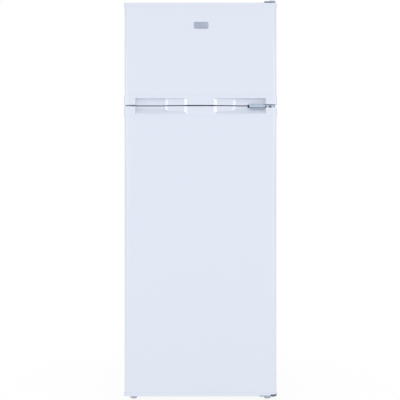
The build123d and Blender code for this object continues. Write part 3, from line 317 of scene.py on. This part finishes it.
door_paint = gloss_paint("door_paint_gloss", DOOR_WHITE, 0.24, 0.004)
cap_plastic = plastic("cap_plastic_gloss", DOOR_WHITE, 0.22, 0.01, 700.0).put("Coat Weight", 0.2)
liner = plastic("liner_formed_sheet", LINER_WHITE, 0.28, 0.008, 90.0, 0.015)
foam = plastic("foam_rigid", (0.80, 0.70, 0.42), 0.9, 0.6, 700.0)
gasket = plastic("gasket_soft", (0.72, 0.75, 0.81), 0.62, 0.1).put("Sheen Weight", 0.15)
zinc = metal("zinc_plate", (0.42, 0.50, 0.62), 0.34, scale=700.0, depth=0.08)
copper = metal("copper_bare", (0.80, 0.44, 0.30), 0.32, scale=300.0).dust((0.30, 0.16, 0.10), 0.5, 40.0)
aluminium = metal("aluminium_roll_bonded", (0.80, 0.81, 0.83), 0.36, (0.08, 1.0, 1.0), 500.0)
badge_metal = metal("badge_brushed", (0.40, 0.45, 0.55), 0.30, (0.05, 1.0, 1.0), 1500.0, 0.2)
brass = metal("bulb_screw_base", (0.78, 0.68, 0.40), 0.35)
dark_plastic = plastic("dark_plastic_grained", (0.022, 0.023, 0.027), 0.48, 0.3)
dark_plastic.dust((0.16, 0.15, 0.14), 0.25)
white_plastic = plastic("white_plastic_grained", (0.78, 0.80, 0.84), 0.42, 0.12)
roller_nylon = plastic("roller_nylon", (0.66, 0.65, 0.60), 0.5, 0.1).dust((0.28, 0.26, 0.23), 0.55, 60.0)
foot_nylon = plastic("foot_grey_nylon", (0.44, 0.45, 0.54), 0.45, 0.12)
rubber = plastic("isolator_rubber_black", (0.018, 0.018, 0.019), 0.78, 0.5, 1200.0)
coated_wire = gloss_paint("shelf_wire_coat", (0.80, 0.82, 0.85), 0.35, 0.05)
clear_plastic = clear("clear_styrene", (0.86, 0.93, 0.97), 0.06, 0.02)
lamp_plastic = clear("lamp_cover_frost", (0.95, 0.95, 0.93), 0.35, 0.3)
shelf_glass = clear("shelf_glass_green", (0.80, 0.93, 0.90), 0.03, 0.01).put("IOR", 1.52)
bulb_glass = clear("bulb_frost", (0.97, 0.96, 0.92), 0.4, 0.1)

LOOKS = {
    "door_paint": door_paint,
    "cap_plastic": cap_plastic,
    "cabinet_paint": cabinet_finish(),
    "liner_plastic": liner,
    "foam": foam,
    "gasket_rubber": gasket,
    "zinc_steel": zinc,
    "galvanised_steel": spangle_finish(),
    "black_enamel": enamel_finish(),
    "copper": copper,
    "dark_plastic": dark_plastic,
    "white_plastic": white_plastic,
    "clear_plastic": clear_plastic,
    "shelf_glass": shelf_glass,
    "bulb_glass": bulb_glass,
    "plate_aluminium": aluminium,
    "isolator_rubber": rubber,
    "coated_wire": coated_wire,
    "roller_plastic": roller_nylon,
    "badge_metal": badge_metal,
}


def dress(obj, look):
    obj.data.materials.clear()
    obj.data.materials.append(look.material)


def second_look(obj, look, test):
    """Gives part of an object another material where the face's centre passes the test."""
    mesh = obj.data
    mesh.materials.append(look.material)
    for face in mesh.polygons:
        if test(face.center):
            face.material_index = 1


def on_stop_post(point):
    near = math.hypot(point.x - STOP_POST[0], point.y - STOP_POST[1]) < STOP_POST_REACH
    return near and STOP_POST_Z[0] < point.z < STOP_POST_Z[1]


def dress_nodes():
    """Every CAD node in the look of its slot, and second materials where a node needs one."""
    for name, obj in nodes.items():
        dress(obj, LOOKS[slot_of[name]])
    dress(nodes["lamp_cover"], lamp_plastic)
    for side in ("left", "right"):
        foot = nodes["front_foot_" + side]
        dress(foot, foot_nylon)
        second_look(foot, zinc, lambda c: c.z > FOOT_PAD_TOP)
    second_look(nodes["lamp_bulb"], brass, lambda c: BULB_BASE_X[0] < c.x < BULB_BASE_X[1])
    shell = COMPRESSOR_SHELL_X
    second_look(nodes["compressor"], copper, lambda c: not shell[0] <= c.x <= shell[1])


dress_nodes()


# ---------------------------------------------------------------- mesh helpers
def new_piece(name, mesh, look, body):
    obj = bpy.data.objects.new(name, mesh)
    scene.collection.objects.link(obj)
    dress(obj, look)
    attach(obj, body)
    return obj


def smooth(mesh, angle):
    mesh.shade_smooth()
    mesh.set_sharp_from_angle(angle=angle)


def bridge(shape, first, second):
    """Quads between two closed loops of points."""
    for i in range(len(first)):
        j = (i + 1) % len(first)
        shape.faces.new((first[i], first[j], second[j], second[i]))


def to_mesh(shape, name, angle):
    """Smooth mesh of the shape, with its faces turned outwards."""
    bmesh.ops.recalc_face_normals(shape, faces=shape.faces)
    mesh = bpy.data.meshes.new(name)
    shape.to_mesh(mesh)
    shape.free()
    smooth(mesh, angle)
    return mesh


def rectangle_path(half, z, radius):
    """Points and outward directions round a rectangle with rounded corners, as (x, z)."""
    middle = (z[0] + z[1]) / 2
    path = []
    for x, height, start in ((half, z[1], 0), (-half, z[1], 90), (-half, z[0], 180), (half, z[0], 270)):
        centre_x = x - math.copysign(radius, x)
        centre_z = height - math.copysign(radius, height - middle)
        for step in range(CORNER_STEPS + 1):
            angle = math.radians(start + 90 * step / CORNER_STEPS)
            way = (math.cos(angle), math.sin(angle))
            path.append(((centre_x + radius * way[0], centre_z + radius * way[1]), way))
    return path


# ---------------------------------------------------------------- door seals
def seal_profile():
    """Foot, two bellows folds and a rounded magnet strip, as (inset, y)."""
    outer = [
        (0.0005, -0.2283),
        (0.0002, -0.2262),
        (0.0018, -0.2254),
        (0.0045, -0.2247),
        (0.0062, -0.2235),
        (0.0046, -0.2222),
        (0.0040, -0.2211),
        (0.0052, -0.2199),
        (0.0030, -0.2192),
        (0.0014, -0.2184),
        (0.0010, -0.2174),
        (0.0014, -0.2164),
        (0.0028, -0.2159),
    ]
    inner = [(SEAL_WIDTH - inset, y) for inset, y in reversed(outer)]
    return outer + inner


def folded_seal(node):
    """Bellows seal in place of a plain gasket: the profile carried round the door."""
    low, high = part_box(node)
    shape = bmesh.new()
    rings = []
    for (x, z), way in rectangle_path(high[0], (low[2], high[2]), SEAL_CORNER):
        points = [(x - way[0] * inset, y, z - way[1] * inset) for inset, y in seal_profile()]
        rings.append([shape.verts.new(point) for point in points])
    for first, second in zip(rings, rings[1:] + rings[:1]):
        bridge(shape, first, second)
    name = node + "_folded"
    seal = new_piece(name, to_mesh(shape, name, SEAL_ANGLE), gasket, body_of[node])
    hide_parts(node)


folded_seal("freezer_door_gasket")
folded_seal("fridge_door_gasket")


# ---------------------------------------------------------------- rounded caps and hinges
def softened(node, look, edge):
    """Copy of a CAD node with every hard edge rounded over, shown in its place."""
    mesh = nodes[node].data.copy()
    mesh.name = node + "_soft"
    shape = bmesh.new()
    shape.from_mesh(mesh)
    bmesh.ops.remove_doubles(shape, verts=shape.verts, dist=WELD)
    bmesh.ops.dissolve_limit(shape, angle_limit=FLAT_ANGLE, verts=shape.verts, edges=shape.edges)
    shape.to_mesh(mesh)
    shape.free()
    smooth(mesh, EDGE_ANGLE)
    obj = new_piece(node + "_soft", mesh, look, body_of[node])
    bevel = obj.modifiers.new("edges", "BEVEL")
    bevel.width, bevel.segments = edge
    bevel.limit_method = "ANGLE"
    bevel.angle_limit = EDGE_ANGLE
    bevel.use_clamp_overlap = True
    obj.modifiers.new("normals", "WEIGHTED_NORMAL").keep_sharp = True
    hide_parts(node)
    return obj


softened("freezer_door_top_cap", cap_plastic, CAP_EDGE)
softened("freezer_door_bottom_cap", cap_plastic, GRIP_EDGE)
softened("fridge_door_top_cap", cap_plastic, GRIP_EDGE)
softened("fridge_door_bottom_cap", cap_plastic, CAP_EDGE)
softened("top_hinge_cover", white_plastic, COVER_EDGE)
second_look(softened("middle_hinge", zinc, HINGE_EDGE), white_plastic, on_stop_post)
softened("bottom_hinge", zinc, HINGE_EDGE)
softened("top_hinge", zinc, HINGE_EDGE)


# ---------------------------------------------------------------- badge
def badge():
    """Slightly crowned blank plate with a raised rim."""
    low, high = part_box("door_badge")
    middle = Vector([(low[i] + high[i]) / 2 for i in range(3)])
    half_x = (high[0] - low[0]) / 2
    half_z = (high[2] - low[2]) / 2
    steps = [
        (0.0, high[1]),
        (0.0, low[1] + BADGE_RIM),
        (BADGE_BORDER[0], low[1]),
        (BADGE_BORDER[1], low[1] + BADGE_CROWN),
    ]
    shape = bmesh.new()
    loops = []
    for inset, y in steps:
        z = (-half_z + inset, half_z - inset)
        outline = [point for point, way in rectangle_path(half_x - inset, z, BADGE_CORNER - inset)]
        loops.append([shape.verts.new((middle.x + point[0], y, middle.z + point[1])) for point in outline])
    for first, second in zip(loops, loops[1:]):
        bridge(shape, first, second)
    shape.faces.new(loops[-1])
    shape.faces.new(list(reversed(loops[0])))
    mesh = to_mesh(shape, "badge_plate", SMOOTH_ANGLE)
    plate = new_piece("badge_plate", mesh, badge_metal, "freezer_door")
    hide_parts("door_badge")


badge()


# ---------------------------------------------------------------- thermostat scale
def dial_marks():
    """Raised marks on the control box round the thermostat knob, longer as they go round."""
    low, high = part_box("thermostat_knob")
    face_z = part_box("control_housing")[0][2]
    base = Vector(((low[0] + high[0]) / 2, (low[1] + high[1]) / 2, face_z))
    shape = bmesh.new()
    for index in range(MARK_COUNT):
        angle = math.radians(MARK_START + MARK_SWEEP * index / (MARK_COUNT - 1))
        way = Vector((math.cos(angle), math.sin(angle), 0.0))
        side = Vector((-way.y, way.x, 0.0)) * MARK_HALF
        near = way * MARK_INNER
        far = way * (MARK_OUTER + MARK_GROWTH * index)
        outline = [base + p for p in (near - side, far - side, far + side, near + side)]
        top = [shape.verts.new(p - Vector((0, 0, MARK_RAISED))) for p in outline]
        root = [shape.verts.new(p + Vector((0, 0, MARK_SUNK))) for p in outline]
        shape.faces.new(top)
        shape.faces.new(list(reversed(root)))
        bridge(shape, top, root)
    bmesh.ops.recalc_face_normals(shape, faces=shape.faces)
    mesh = bpy.data.meshes.new("dial_marks")
    shape.to_mesh(mesh)
    shape.free()
    new_piece("dial_marks", mesh, dark_plastic, "cabinet")


dial_marks()


# ---------------------------------------------------------------- screws
def loose_boxes(mesh):
    """Box of every loose part of a mesh, as (low, high)."""
    shape = bmesh.new()
    shape.from_mesh(mesh)
    bmesh.ops.remove_doubles(shape, verts=shape.verts, dist=WELD)
    seen = set()
    boxes = []
    for start in shape.verts:
        if start in seen:
            continue
        seen.add(start)
        group = [start]
        for vert in group:
            for link in vert.link_edges:
                other = link.other_vert(vert)
                if other not in seen:
                    seen.add(other)
                    group.append(other)
        low = Vector([min(vert.co[i] for vert in group) for i in range(3)])
        high = Vector([max(vert.co[i] for vert in group) for i in range(3)])
        boxes.append((low, high))
    shape.free()
    return boxes


def screw_head(shape, seat, axis, radius, height):
    """Domed head with a cross recess, built as rings about the axis."""
    across = Vector((1, 0, 0))
    side = axis.cross(across)
    turns = [2 * math.pi * i / HEAD_STEPS for i in range(HEAD_STEPS)]
    ways = [across * math.cos(turn) + side * math.sin(turn) for turn in turns]
    arms = [max(abs(math.cos(turn)), abs(math.sin(turn))) for turn in turns]
    cross = [CROSS_ARM if arm > CROSS_TURN else CROSS_CORE for arm in arms]
    rings = [[(reach, lift)] * HEAD_STEPS for reach, lift in HEAD_PROFILE]
    rings.append([(reach, CROSS_RIM) for reach in cross])
    rings.append([(reach * CROSS_TAPER, CROSS_FLOOR) for reach in cross])
    loops = []
    for ring in rings:
        points = [way * radius * reach + axis * height * lift for way, (reach, lift) in zip(ways, ring)]
        loops.append([shape.verts.new(seat + point) for point in points])
    for first, second in zip(loops, loops[1:]):
        bridge(shape, first, second)
    shape.faces.new(loops[-1])


def screws():
    """Cross-recessed screws in place of the plain ones, on the same centres."""
    shape = bmesh.new()
    for low, high in loose_boxes(nodes["hinge_screws"].data):
        middle = (low + high) / 2
        size = high - low
        if size.y > size.z:
            axis, height = FRONT_HEAD
        elif middle.z > TOP_HEADS_ABOVE:
            axis, height = TOP_HEAD
        else:
            axis, height = UNDER_HEAD
        seat = middle + axis * (abs(size.dot(axis)) / 2 - height)
        screw_head(shape, seat, axis, size.x / 2, height)
    mesh = to_mesh(shape, "cross_screws", HEAD_ANGLE)
    obj = new_piece("cross_screws", mesh, zinc, "cabinet")
    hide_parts("hinge_screws")


screws()


# ---------------------------------------------------------------- floor, light, camera
def floor():
    """Round pale floor that fades to the white of the studio."""
    shape = bmesh.new()
    bmesh.ops.create_circle(shape, cap_ends=True, radius=FLOOR_RADIUS, segments=96)
    mesh = bpy.data.meshes.new("studio_floor")
    shape.to_mesh(mesh)
    shape.free()
    obj = bpy.data.objects.new("studio_floor", mesh)
    scene.collection.objects.link(obj)
    look = Look("floor_pale", (0.94, 0.94, 0.94), 0.6).put("Specular IOR Level", 0.1)
    glow = look.node("ShaderNodeEmission")
    glow.inputs["Color"].default_value = (1.0, 1.0, 1.0, 1.0)
    mix = look.node("ShaderNodeMixShader")
    length = look.node("ShaderNodeVectorMath", operation="LENGTH")
    look.link(look.place, length.inputs[0])
    look.link(look.ramp(length.outputs["Value"], FLOOR_FADE, FLOOR_GLOW), mix.inputs["Fac"])
    look.link(look.shader.outputs[0], mix.inputs[1])
    look.link(glow.outputs[0], mix.inputs[2])
    look.link(mix.outputs[0], look.tree.nodes["Material Output"].inputs["Surface"])
    dress(obj, look)


floor()


def world():
    """White studio that falls off a little towards both sides."""
    made = bpy.data.worlds.new("studio_white")
    scene.world = made
    made.use_nodes = True
    tree = made.node_tree
    back = tree.nodes["Background"]
    back.inputs["Color"].default_value = (1.0, 1.0, 1.0, 1.0)
    place = tree.nodes.new("ShaderNodeTexCoord")
    parts = tree.nodes.new("ShaderNodeSeparateXYZ")
    across = tree.nodes.new("ShaderNodeMath")
    across.operation = "ABSOLUTE"
    level = tree.nodes.new("ShaderNodeMapRange")
    level.inputs["From Min"].default_value = SIDE_FADE[0]
    level.inputs["From Max"].default_value = SIDE_FADE[1]
    level.inputs["To Min"].default_value = 1.0
    level.inputs["To Max"].default_value = SIDE_LEVEL
    tree.links.new(place.outputs["Generated"], parts.inputs["Vector"])
    tree.links.new(parts.outputs["X"], across.inputs[0])
    tree.links.new(across.outputs["Value"], level.inputs["Value"])
    tree.links.new(level.outputs["Result"], back.inputs["Strength"])


world()


def soft_box(name, place, target_z, size, watts):
    """Rectangular light that faces the middle of the doors at a given height."""
    light = bpy.data.lights.new(name, "AREA")
    light.shape = "RECTANGLE"
    light.size, light.size_y = size
    light.energy = watts
    obj = bpy.data.objects.new(name, light)
    obj.location = place
    aim = Vector((0.0, DOOR_PLANE_Y, target_z)) - Vector(place)
    obj.rotation_euler = aim.to_track_quat("-Z", "Y").to_euler()
    scene.collection.objects.link(obj)


for name, side in (("left", -1), ("right", 1)):
    side_place = (side * SIDE_BOX[0], SIDE_BOX[1], SIDE_BOX[2])
    front_place = (side * FRONT_BOX[0], FRONT_BOX[1], FRONT_BOX[2])
    soft_box(name + "_side_box", side_place, SIDE_BOX_TARGET_Z, SIDE_BOX_SIZE, SIDE_BOX_WATTS)
    soft_box(name + "_front_box", front_place, FRONT_BOX[2], FRONT_BOX_SIZE, FRONT_BOX_WATTS)


def photo_camera():
    """Level camera in front of the doors."""
    camera = bpy.data.cameras.new("photo_camera")
    camera.sensor_width = SENSOR_MM
    camera.lens = SENSOR_MM * CAMERA_BACK / VIEW_HEIGHT
    obj = bpy.data.objects.new("photo_camera", camera)
    obj.location = (CAMERA_X, cad_box[0][1] - CAMERA_BACK, CAMERA_Z)
    obj.rotation_euler = (math.radians(90.0), 0.0, 0.0)
    scene.collection.objects.link(obj)
    scene.camera = obj
    scene.view_settings.view_transform = "Standard"


photo_camera()
